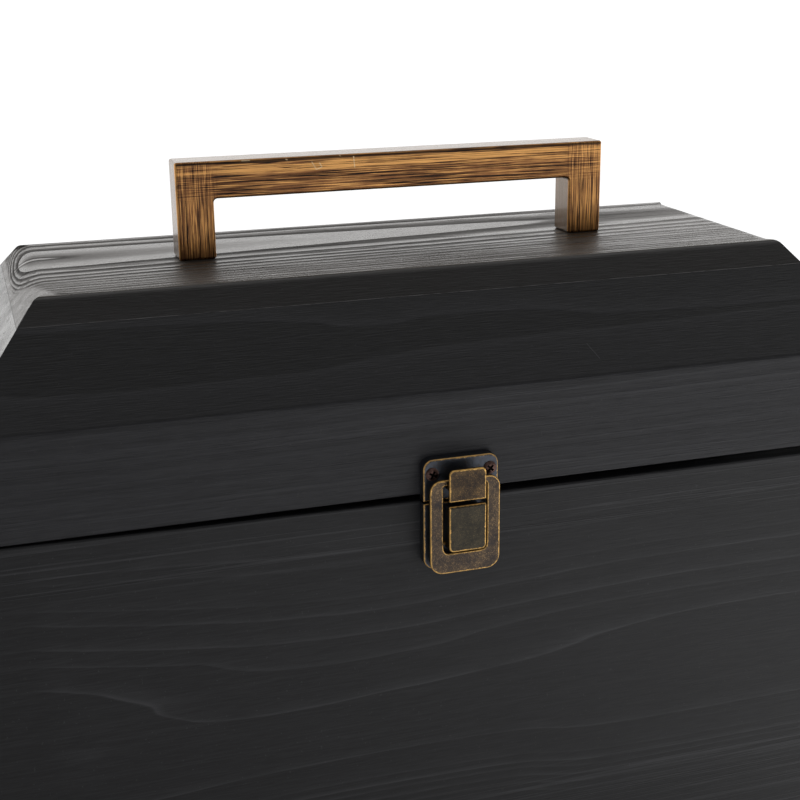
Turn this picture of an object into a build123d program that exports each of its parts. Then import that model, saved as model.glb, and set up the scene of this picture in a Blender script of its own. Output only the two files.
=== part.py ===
from build123d import *
import os
from math import atan2, sin

# Deed box: a mitred softwood body, a hipped lid with a flat top, a square bar handle, a draw
# latch at the front and two butt hinges at the back. Millimetres. X runs along the front, Y
# from the front to the back and Z up; the origin is the middle of the underside.

# ---- Box ------------------------------------------------------------------------------
BOX_LENGTH = 281.8
BOX_DEPTH = 131.0
BODY_HEIGHT = 150.0  # underside to the rim at the back and at the left end
BOARD = 10.0  # body boards and lid rails
CORNER_RADIUS = 1.0  # upright corners; the hips above them are left sharp
RIM_ROUND = 0.7  # sanded edges along the rim and the lid's lower edge
FOOT_ROUND = 0.8  # sanded edges along the underside
BOTTOM_PANEL = 6.0
BOTTOM_REBATE = 5.0  # how far the bottom panel is let into each board
PANEL_CLEARANCE = 0.1

# The front rim was planed hollow: it falls away from the lid towards the right.
RIM_DROP_MIDDLE = 1.7
RIM_DROP_RIGHT = 2.1

# ---- Lid ------------------------------------------------------------------------------
SEAM_GAP = 0.3  # lid above the rim where they are closest
RAIL_HEIGHT = 30.3
SLOPE_RISE = 30.7
SLOPE_RUN = 25.6
SLOPE_BOARD = 8.0
TOP_BOARD = 6.9
ARRIS_RADIUS = 2.2  # where rails and slopes meet
TOP_ROUND = 3.0  # along the front and back of the top
END_ROUND = 9.0  # at the left and right ends of the top, worn right over

# ---- Handle ---------------------------------------------------------------------------
HANDLE_X = -0.6  # its middle from the middle of the box
HANDLE_CENTRES = 128.0
HANDLE_BAR = 11.4  # square section
HANDLE_PROJECTION = 29.7
HANDLE_EDGE = 0.8
HANDLE_INNER_CORNER = 1.2
HANDLE_SCREW = 4.0
HANDLE_SCREW_REACH = 8.0  # into each post
HANDLE_SCREW_HEAD = 8.0
HANDLE_SCREW_HEAD_HEIGHT = 2.6
SCREW_HOLE_CLEARANCE = 0.25  # radial, where a screw passes through freely

# ---- Draw latch -----------------------------------------------------------------------
# Heights are from the lid's lower edge, stand-offs from the face of the boards.
LATCH_X = -2.55
PLATE_WIDTH = 22.9
PLATE_STAND = 3.5
PLATE_WALL = 0.8
PLATE_EDGE = 0.6
STRIKE_TOP = 11.45
STRIKE_BOTTOM = -1.1
STRIKE_CORNER = 3.0
BASE_TOP = -1.75
BASE_BOTTOM = -22.4
BASE_CORNER = 3.5
HOOK_WIDTH = 11.1
HOOK_TOP = 9.65
HOOK_BOTTOM = 0.1
TAB_STAND = 9.3  # front of the hook and of the lever
TAB_THICKNESS = 0.9
TAB_CORNER = 1.4
TAB_EDGE = 0.3
LEVER_WIDTH = 11.2
LEVER_TOP = -1.2
LEVER_BOTTOM = -15.3
LEVER_FLANGE = 0.8
LEVER_BEND = 0.8  # outside radius of the lever's top edge
LEVER_PIVOT_STAND = 6.6
LEVER_PIVOT_HEIGHT = -4.0
RING_PIVOT_STAND = 5.3
RING_PIVOT_HEIGHT = -13.7
LATCH_PIN = 1.2
LATCH_PIN_CLEARANCE = 0.05  # radial
LATCH_SIDE_CLEARANCE = 0.15
EYE_WALL = 0.6  # metal round each pin hole
EAR = 0.8
RING_WIDTH = 21.3
RING_TOP = 6.15
RING_BOTTOM = -22.7
RING_STAND = 7.15
RING_THICKNESS = 1.0
RING_TOP_CORNER = 3.4
RING_BOTTOM_CORNER = 4.0
RING_EDGE = 0.3
WINDOW_WIDTH = 13.44
WINDOW_TOP = 4.49
WINDOW_BOTTOM = -16.55
WINDOW_TOP_CORNER = 0.8
WINDOW_BOTTOM_CORNER = 1.8
RING_SEAT_GAP = 0.15  # the ring's top bar above the floor of the hook

LATCH_SCREW = 2.0
LATCH_SCREW_HEAD = 4.0
LATCH_SCREW_HEAD_HEIGHT = 0.8
LATCH_SCREW_BITE = 7.0  # into the wood
STRIKE_SCREW_SPACING = 17.6
STRIKE_SCREW_HEIGHT = 7.15
BASE_SCREW_SPACING = 13.0
BASE_SCREW_HEIGHT = -19.0

# ---- Hinges ---------------------------------------------------------------------------
HINGE_FROM_END = 56.0  # middle of each hinge from the end of the box
HINGE_LENGTH = 30.0
HINGE_LEAF_HEIGHT = 12.0  # from the pin's axis to the leaf's free edge
HINGE_LEAF = 1.0
KNUCKLE_RADIUS = 2.0
KNUCKLES = 5
KNUCKLE_GAP = 0.15
HINGE_PIN = 1.8
HINGE_PIN_CLEARANCE = 0.05  # radial
HINGE_PIN_HEAD = 0.8
HINGE_LEAF_CORNER = 1.5
HINGE_SCREW = 2.2
HINGE_SCREW_HEAD = 4.4
HINGE_SCREW_BITE = 7.5
HINGE_SCREW_SPACING = 18.0
HINGE_SCREW_HEIGHT = 7.6  # from the pin's axis

# ---- Worked out -----------------------------------------------------------------------
LID_Z = BODY_HEIGHT + SEAM_GAP
ARRIS_Z = LID_Z + RAIL_HEIGHT
TOP_Z = ARRIS_Z + SLOPE_RISE
TOP_JOINT_Z = TOP_Z - TOP_BOARD
SLOPE_WALL = SLOPE_BOARD / sin(atan2(SLOPE_RISE, SLOPE_RUN))  # level thickness of a sloped board
FRONT_Y = -BOX_DEPTH / 2
BACK_Y = BOX_DEPTH / 2
INSIDE_LENGTH = BOX_LENGTH - 2 * BOARD
INSIDE_DEPTH = BOX_DEPTH - 2 * BOARD
HANDLE_POSTS = (HANDLE_X - HANDLE_CENTRES / 2, HANDLE_X + HANDLE_CENTRES / 2)
HINGE_X = BOX_LENGTH / 2 - HINGE_FROM_END
HINGE_AXIS_Y = BACK_Y + KNUCKLE_RADIUS
HINGE_AXIS_Z = BODY_HEIGHT + SEAM_GAP / 2
SIDES = {
    "front": ("body_front_board", "lid_front_rail", "lid_front_slope"),
    "back": ("body_back_board", "lid_back_rail", "lid_back_slope"),
    "left": ("body_left_end", "lid_left_rail", "lid_left_slope"),
    "right": ("body_right_end", "lid_right_rail", "lid_right_slope"),
}


# ---- Shared shapes --------------------------------------------------------------------
def level_block(length, depth, low, high, corner=0.0):
    """A block centred on the box, between two heights, with its upright edges rounded by corner."""
    plan = RectangleRounded(length, depth, corner) if corner else Rectangle(length, depth)
    return extrude(Pos(0, 0, low) * plan, amount=high - low)


def hipped_block(inset, low, high):
    """A block between two heights whose sides slope as the lid's do, inset from its outer faces."""
    outlines = []
    for height in (low, high):
        step = inset + (height - ARRIS_Z) * SLOPE_RUN / SLOPE_RISE
        outlines.append(Pos(0, 0, height) * Rectangle(BOX_LENGTH - 2 * step, BOX_DEPTH - 2 * step))
    return loft(outlines, ruled=True)


def mitre_sector(side):
    """The tall prism that holds one side's boards, cut at 45 degrees through the corners."""
    half_length = BOX_LENGTH / 2
    half_depth = BOX_DEPTH / 2
    ridge = half_length - half_depth
    if side in ("front", "back"):
        corners = [(-half_length, -half_depth), (half_length, -half_depth), (ridge, 0), (-ridge, 0)]
    else:
        corners = [(-half_length, -half_depth), (-ridge, 0), (-half_length, half_depth)]
    turn = 180 if side in ("back", "right") else 0
    return extrude(Rot(0, 0, turn) * make_face(Polyline(*corners, close=True)), amount=2 * TOP_Z)


def is_outside(point):
    """Whether a point lies on the outer faces of the body's boards."""
    reach = CORNER_RADIUS + 1e-3
    return abs(point.X) > BOX_LENGTH / 2 - reach or abs(point.Y) > BOX_DEPTH / 2 - reach


def outer_arris(board, low, high):
    """The edges of a board that run along its outer face between two heights."""
    found = []
    for edge in board.edges():
        box = edge.bounding_box()
        within = low - 1e-4 < box.min.Z and box.max.Z < high + 1e-4
        if within and all(is_outside(end) for end in (edge @ 0, edge @ 1, edge @ 0.5)):
            found.append(edge)
    return found


def rod_along_x(radius, length, x, y, z):
    """A round bar along X, given its middle."""
    return Pos(x, y, z) * Rot(0, 90, 0) * Cylinder(radius, length)


def side_view(x):
    """The plane at x on which sketches are drawn with their first axis outwards from the front."""
    return Plane(origin=(x, 0, 0), x_dir=(0, -1, 0), z_dir=(-1, 0, 0))


def screw(shank, bite, point, head, head_height, countersunk):
    """A screw along +Y. The origin is under a domed head, or on the flat of a countersunk one."""
    if countersunk:
        crown = [(0, 0), (head / 2, 0), (shank / 2, head_height)]
    else:
        crown = [(0, -head_height), (head / 4, -head_height), (head / 2, -head_height / 3)]
        crown += [(head / 2, 0), (shank / 2, 0)]
    outline = Polyline(*crown, (shank / 2, bite - point), (0, bite), close=True)
    return revolve(make_face(outline), Axis.Y)


# ---- Body -----------------------------------------------------------------------------
def planed_off():
    """What is missing from the rim: a shallow hollow in front and a wedge at the right end."""
    above = BODY_HEIGHT + 1
    half = BOX_LENGTH / 2
    low_right = BODY_HEIGHT - RIM_DROP_RIGHT
    hollow = ThreePointArc((-half, BODY_HEIGHT), (0, BODY_HEIGHT - RIM_DROP_MIDDLE), (half, low_right))
    rest = Polyline((half, low_right), (half, above), (-half, above), (-half, BODY_HEIGHT))
    tall_side = Polyline((FRONT_Y, low_right), (FRONT_Y, above), (BACK_Y, above), (BACK_Y, BODY_HEIGHT))
    wedge = make_face(tall_side + Line((BACK_Y, BODY_HEIGHT), (FRONT_Y, low_right)))
    return {
        "front": extrude(Pos(0, BACK_Y, 0) * make_face(Plane.XZ * (hollow + rest)), amount=BOX_DEPTH),
        "right": extrude(Plane.YZ * wedge, amount=half),
    }


def make_body(screws):
    """Four mitred boards, planed at the rim, round a bottom panel let into them."""
    rebate_length = INSIDE_LENGTH + 2 * BOTTOM_REBATE
    rebate_depth = INSIDE_DEPTH + 2 * BOTTOM_REBATE
    ring = level_block(BOX_LENGTH, BOX_DEPTH, 0, BODY_HEIGHT, CORNER_RADIUS)
    ring -= level_block(INSIDE_LENGTH, INSIDE_DEPTH, 0, BODY_HEIGHT)
    ring -= level_block(rebate_length, rebate_depth, 0, BOTTOM_PANEL)
    planed = planed_off()
    nodes = {}
    for side, (board_name, _, _) in SIDES.items():
        board = ring & mitre_sector(side)
        if side in planed:
            board -= planed[side]
        board = fillet(outer_arris(board, BODY_HEIGHT - RIM_DROP_RIGHT, BODY_HEIGHT), RIM_ROUND)
        board = fillet(outer_arris(board, 0, 0), FOOT_ROUND)
        nodes[board_name] = board
    nodes["body_front_board"] -= screws["latch_base_screws"]
    nodes["body_back_board"] -= screws["hinge_body_screws"]
    nodes["body_bottom_panel"] = level_block(
        rebate_length - 2 * PANEL_CLEARANCE, rebate_depth - 2 * PANEL_CLEARANCE, 0, BOTTOM_PANEL
    )
    return nodes


# ---- Lid ------------------------------------------------------------------------------
def lid_section(width, top_round):
    """The outline of the lid cut across, with its edges rounded: heights along the second axis."""
    half = width / 2
    left = [(-half, LID_Z), (-half, ARRIS_Z), (SLOPE_RUN - half, TOP_Z)]
    right = [(-across, height) for across, height in reversed(left)]
    section = make_face(Polyline(*left, *right, close=True))
    for height, radius in ((LID_Z, RIM_ROUND), (ARRIS_Z, ARRIS_RADIUS), (TOP_Z, top_round)):
        level = [corner for corner in section.vertices() if abs(corner.Y - height) < 1e-4]
        section = fillet(level, radius)
    return section


def lid_outside():
    """The lid before it is hollowed: its section run along each side, mitred up the hips."""
    along = extrude(Plane.YZ * lid_section(BOX_DEPTH, TOP_ROUND), amount=BOX_LENGTH, both=True)
    across = extrude(Plane.XZ * lid_section(BOX_LENGTH, END_ROUND), amount=BOX_DEPTH, both=True)
    sections = {"front": along, "back": along, "left": across, "right": across}
    first, *others = [sections[side] & mitre_sector(side) for side in SIDES]
    return (first + others) & level_block(BOX_LENGTH, BOX_DEPTH, 0, 2 * TOP_Z, CORNER_RADIUS)


def make_lid(screws):
    """Four rails, four sloped boards mitred along the hips, and the flat top board."""
    hollow = level_block(INSIDE_LENGTH, INSIDE_DEPTH, LID_Z, ARRIS_Z)
    hollow += hipped_block(SLOPE_WALL, ARRIS_Z, TOP_JOINT_Z)
    shell = lid_outside() - hollow
    rails = shell & level_block(BOX_LENGTH, BOX_DEPTH, LID_Z, ARRIS_Z)
    slopes = shell & level_block(BOX_LENGTH, BOX_DEPTH, ARRIS_Z, TOP_JOINT_Z)
    nodes = {"lid_top_board": shell & level_block(BOX_LENGTH, BOX_DEPTH, TOP_JOINT_Z, TOP_Z)}
    for side, (_, rail_name, slope_name) in SIDES.items():
        nodes[rail_name] = rails & mitre_sector(side)
        nodes[slope_name] = slopes & mitre_sector(side)
    nodes["lid_front_rail"] -= screws["strike_screws"]
    nodes["lid_back_rail"] -= screws["hinge_lid_screws"]
    for x in HANDLE_POSTS:
        hole = Cylinder(HANDLE_SCREW / 2 + SCREW_HOLE_CLEARANCE, 4 * TOP_BOARD)
        nodes["lid_top_board"] -= Pos(x, 0, TOP_Z) * hole
    return nodes


# ---- Handle ---------------------------------------------------------------------------
def make_handle_screws():
    """Two machine screws that come up through the top board into the handle's posts."""
    shank = (HANDLE_SCREW, TOP_BOARD + HANDLE_SCREW_REACH, HANDLE_SCREW / 8)
    one = screw(*shank, HANDLE_SCREW_HEAD, HANDLE_SCREW_HEAD_HEIGHT, countersunk=False)
    return [Pos(x, 0, TOP_JOINT_Z) * Rot(90, 0, 0) * one for x in HANDLE_POSTS]


def make_handle(screws):
    """A square bar bent down at both ends, with softly rounded edges and tapped feet."""
    outline = Rectangle(HANDLE_CENTRES + HANDLE_BAR, HANDLE_PROJECTION)
    outline -= Pos(0, -HANDLE_BAR) * Rectangle(HANDLE_CENTRES - HANDLE_BAR, HANDLE_PROJECTION)
    outline = fillet(outline.vertices().group_by(Axis.Y)[1], HANDLE_INNER_CORNER)
    levels = outline.vertices().group_by(Axis.Y)
    outline = fillet(levels[0] + levels[-1], HANDLE_EDGE)
    bar = extrude(Plane.XZ * outline, amount=HANDLE_BAR / 2, both=True)
    bar = fillet(bar.faces().filter_by(Axis.Y).edges(), HANDLE_EDGE)
    return Pos(HANDLE_X, 0, TOP_Z + HANDLE_PROJECTION / 2) * bar - screws


# ---- Draw latch -----------------------------------------------------------------------
def face_plate(width, low, high, back, front, top_corner=0.0, bottom_corner=0.0):
    """A plate parallel to the box's front, between two heights and two stand-offs."""
    outline = Pos(0, (low + high) / 2) * Rectangle(width, high - low)
    if top_corner:
        outline = fillet(outline.vertices().group_by(Axis.Y)[-1], top_corner)
    if bottom_corner:
        outline = fillet(outline.vertices().group_by(Axis.Y)[0], bottom_corner)
    return extrude(Plane.XZ.offset(back) * outline, amount=front - back)


def front_edges(plate):
    """The edges round a plate's outermost face."""
    return plate.faces().sort_by(Axis.Y)[0].edges()


def pan(low, high, top_corner, bottom_corner):
    """A hollow pressed plate that stands off the wood on its turned-in rim."""
    wall = PLATE_WALL
    outer = face_plate(PLATE_WIDTH, low, high, 0, PLATE_STAND, top_corner, bottom_corner)
    outer = fillet(front_edges(outer), PLATE_EDGE)
    inside = (PLATE_WIDTH - 2 * wall, low + wall, high - wall)
    corners = [max(corner - wall, 0) for corner in (top_corner, bottom_corner)]
    return outer - face_plate(*inside, 0, PLATE_STAND - wall, *corners)


def lug(x, stand, height, eye_radius, root_stand):
    """An ear at x: a round eye at a pivot and a root that runs down into the plate it belongs to."""
    root = Pos(root_stand, height - eye_radius / 2) * Rectangle(PLATE_WALL / 2, 3 * eye_radius)
    outline = make_hull((Pos(stand, height) * Circle(eye_radius) + root).edges())
    return extrude(side_view(x) * outline, amount=EAR / 2, both=True)


def latch_screws(spacing, height):
    """Two domed screws through a plate into the wood, and the clearance holes they need."""
    shank = (LATCH_SCREW, PLATE_STAND + LATCH_SCREW_BITE, LATCH_SCREW)
    one = screw(*shank, LATCH_SCREW_HEAD, LATCH_SCREW_HEAD_HEIGHT, countersunk=False)
    places = [Pos(x, -PLATE_STAND, height) for x in (-spacing / 2, spacing / 2)]
    hole = Rot(90, 0, 0) * Cylinder(LATCH_SCREW / 2 + SCREW_HOLE_CLEARANCE, 2 * PLATE_WALL + 1)
    return [place * one for place in places], [place * hole for place in places]


def make_latch():
    """Strike plate with its hook, base plate, lever and draw ring, round the latch's own origin."""
    pivot = (LEVER_PIVOT_STAND, LEVER_PIVOT_HEIGHT)
    ring_pivot = (RING_PIVOT_STAND, RING_PIVOT_HEIGHT)
    pin_radius = LATCH_PIN / 2
    eye_radius = pin_radius + EYE_WALL
    tab_back = TAB_STAND - TAB_THICKNESS
    strike_screws, strike_holes = latch_screws(STRIKE_SCREW_SPACING, STRIKE_SCREW_HEIGHT)
    base_screws, base_holes = latch_screws(BASE_SCREW_SPACING, BASE_SCREW_HEIGHT)

    lever_pin = rod_along_x(pin_radius, LEVER_WIDTH, 0, -pivot[0], pivot[1])
    ring_pin = rod_along_x(pin_radius, WINDOW_WIDTH + 2 * EAR, 0, -ring_pivot[0], ring_pivot[1])

    hook = face_plate(HOOK_WIDTH, HOOK_BOTTOM, HOOK_TOP, tab_back, TAB_STAND, TAB_CORNER)
    hook = fillet(front_edges(hook), TAB_EDGE)
    floor = WINDOW_TOP - RING_SEAT_GAP
    hook += face_plate(HOOK_WIDTH, floor - TAB_THICKNESS, floor, PLATE_STAND - PLATE_WALL, tab_back)
    strike_plate = pan(STRIKE_BOTTOM, STRIKE_TOP, STRIKE_CORNER, 0) + hook - strike_holes

    base_plate = pan(BASE_BOTTOM, BASE_TOP, 0, BASE_CORNER)
    lug_x = LEVER_WIDTH / 2 - LEVER_FLANGE - LATCH_SIDE_CLEARANCE - EAR / 2
    for x in (-lug_x, lug_x):
        base_plate += lug(x, *pivot, eye_radius, PLATE_STAND - PLATE_WALL / 2)
    base_plate -= [lever_pin, *base_holes]

    lever = face_plate(LEVER_WIDTH, LEVER_BOTTOM, LEVER_TOP, tab_back, TAB_STAND, 0, TAB_CORNER)
    top_edge = front_edges(lever).sort_by(Axis.Z)[-1]
    lever = fillet(top_edge, LEVER_BEND)
    lever = fillet(front_edges(lever).sort_by(Axis.Z)[:-1], TAB_EDGE)
    flange_low = LEVER_BOTTOM + TAB_CORNER
    flange_high = LEVER_TOP - LEVER_BEND
    strip = Rectangle(TAB_THICKNESS, flange_high - flange_low)
    strip = Pos(tab_back, (flange_low + flange_high) / 2) * strip
    eyes = Pos(*pivot) * Circle(eye_radius) + Pos(*ring_pivot) * Circle(eye_radius)
    flange = make_hull((eyes + strip).edges())
    for x in (-LEVER_WIDTH / 2, LEVER_WIDTH / 2 - LEVER_FLANGE):
        lever += extrude(side_view(x + LEVER_FLANGE) * flange, amount=LEVER_FLANGE)
    for stand, height in (pivot, ring_pivot):
        lever -= rod_along_x(pin_radius + LATCH_PIN_CLEARANCE, 2 * LEVER_WIDTH, 0, -stand, height)

    ring_back = RING_STAND - RING_THICKNESS
    faces = (ring_back, RING_STAND)
    draw_ring = face_plate(RING_WIDTH, RING_BOTTOM, RING_TOP, *faces, RING_TOP_CORNER, RING_BOTTOM_CORNER)
    window_corners = (WINDOW_TOP_CORNER, WINDOW_BOTTOM_CORNER)
    draw_ring -= face_plate(WINDOW_WIDTH, WINDOW_BOTTOM, WINDOW_TOP, *faces, *window_corners)
    draw_ring = fillet(front_edges(draw_ring), RING_EDGE)
    ear_x = (WINDOW_WIDTH + EAR) / 2
    for x in (-ear_x, ear_x):
        draw_ring += lug(x, *ring_pivot, eye_radius, ring_back + RING_THICKNESS / 2)
    draw_ring -= ring_pin
    return {
        "strike_plate": strike_plate,
        "strike_screws": strike_screws,
        "latch_base_plate": base_plate,
        "latch_base_screws": base_screws,
        "latch_lever": lever,
        "lever_pin": lever_pin,
        "draw_ring": draw_ring,
        "ring_pin": ring_pin,
    }


# ---- Hinges ---------------------------------------------------------------------------
def hinge_leaf(direction, own_knuckles, hole_radius, screws):
    """One leaf round the pin's axis. direction is 1 for the lid's leaf and -1 for the body's."""
    pitch = HINGE_LENGTH / KNUCKLES
    outline = Rectangle(HINGE_LENGTH, HINGE_LEAF_HEIGHT)
    outline = fillet(outline.vertices().group_by(Axis.Y)[-1], HINGE_LEAF_CORNER)
    leaf = extrude(Pos(0, HINGE_LEAF_HEIGHT / 2, 0) * outline, amount=HINGE_LEAF)
    leaf = Pos(0, HINGE_LEAF - KNUCKLE_RADIUS, 0) * Rot(90, 0, 0) * leaf
    for index in range(KNUCKLES):
        x = (index - (KNUCKLES - 1) / 2) * pitch
        if index in own_knuckles:
            leaf += rod_along_x(KNUCKLE_RADIUS, pitch - KNUCKLE_GAP, x, 0, 0)
        else:
            room = 2 * (KNUCKLE_RADIUS + KNUCKLE_GAP)
            leaf -= Pos(x, 0, 0) * Box(pitch + KNUCKLE_GAP, room + KNUCKLE_RADIUS, room)
    leaf -= rod_along_x(hole_radius, 2 * HINGE_LENGTH, 0, 0, 0)
    if direction < 0:
        leaf = leaf.mirror(Plane.XY)
    return leaf - screws


def hinge_screws(direction):
    """The two countersunk screws of one leaf, round the pin's axis."""
    half_spacing = HINGE_SCREW_SPACING / 2
    shank = (HINGE_SCREW, HINGE_LEAF + HINGE_SCREW_BITE, HINGE_SCREW)
    one = screw(*shank, HINGE_SCREW_HEAD, (HINGE_SCREW_HEAD - HINGE_SCREW) / 2, countersunk=True)
    y = HINGE_LEAF - KNUCKLE_RADIUS
    z = direction * HINGE_SCREW_HEIGHT
    return [Pos(x, y, z) * Rot(0, 0, 180) * one for x in (-half_spacing, half_spacing)]


def make_hinge():
    """A butt hinge that lies flat on the back: two leaves, their screws and the pin."""
    pin_radius = HINGE_PIN / 2
    body_screws = hinge_screws(-1)
    lid_screws = hinge_screws(1)
    body_knuckles = range(0, KNUCKLES, 2)
    lid_knuckles = range(1, KNUCKLES, 2)
    pin = rod_along_x(pin_radius, HINGE_LENGTH, 0, 0, 0)
    for x in (-1, 1):
        place = x * (HINGE_LENGTH + HINGE_PIN_HEAD) / 2
        pin += rod_along_x(pin_radius + HINGE_PIN_HEAD / 2, HINGE_PIN_HEAD, place, 0, 0)
    return {
        "body_leaf": hinge_leaf(-1, body_knuckles, pin_radius, body_screws),
        "lid_leaf": hinge_leaf(1, lid_knuckles, pin_radius + HINGE_PIN_CLEARANCE, lid_screws),
        "pin": pin,
        "body_screws": body_screws,
        "lid_screws": lid_screws,
    }


# ---- Assembly -------------------------------------------------------------------------
def placed(place, shapes):
    """One shape, or a list of them, moved to its place."""
    if isinstance(shapes, list):
        return [place * shape for shape in shapes]
    return place * shapes


def make_box():
    """Every node of the box by name, each in its place."""
    latch_place = Pos(LATCH_X, FRONT_Y, LID_Z)
    nodes = {name: placed(latch_place, shape) for name, shape in make_latch().items()}
    hinge = make_hinge()
    nodes["hinge_body_screws"] = []
    nodes["hinge_lid_screws"] = []
    for side, x in (("left", -HINGE_X), ("right", HINGE_X)):
        place = Pos(x, HINGE_AXIS_Y, HINGE_AXIS_Z)
        nodes[f"hinge_body_leaf_{side}"] = placed(place, hinge["body_leaf"])
        nodes[f"hinge_lid_leaf_{side}"] = placed(place, hinge["lid_leaf"])
        nodes[f"hinge_pin_{side}"] = placed(place, hinge["pin"])
        nodes["hinge_body_screws"] += placed(place, hinge["body_screws"])
        nodes["hinge_lid_screws"] += placed(place, hinge["lid_screws"])
    nodes["handle_screws"] = make_handle_screws()
    nodes["carry_handle"] = make_handle(nodes["handle_screws"])
    nodes.update(make_body(nodes))
    nodes.update(make_lid(nodes))
    return nodes


os.makedirs("parts", exist_ok=True)
for node, shape in make_box().items():
    solid = Compound(children=shape) if isinstance(shape, list) else shape
    export_step(solid, f"parts/{node}.step")
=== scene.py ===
"""Looks of a small deed box: black-stained softwood, an antique bronze handle and a draw latch."""

import logging
import math
from dataclasses import dataclass
from enum import Enum
from functools import partial, reduce

import bmesh
import bpy
from mathutils import Matrix, Vector


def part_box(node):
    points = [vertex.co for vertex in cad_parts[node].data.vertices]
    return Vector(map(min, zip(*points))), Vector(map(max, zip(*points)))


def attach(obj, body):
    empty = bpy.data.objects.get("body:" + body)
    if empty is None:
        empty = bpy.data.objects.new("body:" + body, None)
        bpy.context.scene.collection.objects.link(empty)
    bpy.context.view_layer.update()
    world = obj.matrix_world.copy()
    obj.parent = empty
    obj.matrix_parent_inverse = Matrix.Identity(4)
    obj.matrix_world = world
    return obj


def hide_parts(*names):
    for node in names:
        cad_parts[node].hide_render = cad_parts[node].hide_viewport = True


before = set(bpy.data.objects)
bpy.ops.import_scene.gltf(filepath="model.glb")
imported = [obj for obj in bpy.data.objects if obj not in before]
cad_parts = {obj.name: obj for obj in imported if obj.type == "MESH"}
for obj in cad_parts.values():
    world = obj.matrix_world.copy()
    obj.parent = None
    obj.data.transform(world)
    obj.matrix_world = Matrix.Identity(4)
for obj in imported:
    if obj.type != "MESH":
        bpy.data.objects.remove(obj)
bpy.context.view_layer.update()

Socket = bpy.types.NodeSocket
Value = Socket | float
Colour = tuple[float, float, float]
Tint = Socket | Colour
Pair = tuple[float, float]
Points = tuple[Pair, ...]
# Distances along the grain, across it on the surface, and into the wood or metal.
Way = tuple[Value, Value, Value]
# A millimetre in metres.
MM = 0.001
# Most of a noise texture lies in this span, about a middle of 0.5.
NOISE_SPAN = (0.3, 0.7)
NOISE_MIDDLE = 0.5
# How metallic the metals are: a little less than pure, so that dull patches keep some colour.
METALLIC = 0.9
log = logging.getLogger("deed_box")


def shade(red: int, green: int, blue: int) -> Colour:
    """A colour given as it looks on a screen, as the light values that a shader takes."""
    levels = (red, green, blue)
    return tuple(((c / 255 + 0.055) / 1.055) ** 2.4 if c > 10 else c / 255 / 12.92 for c in levels)


def bring_in(name: str, data: bpy.types.ID) -> bpy.types.Object:
    """Adds an object to the scene.

    Args:
        name: its name.
        data: its mesh or camera.

    Returns:
        The object.
    """
    made = bpy.data.objects.new(name, data)
    bpy.context.scene.collection.objects.link(made)
    return made


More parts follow.
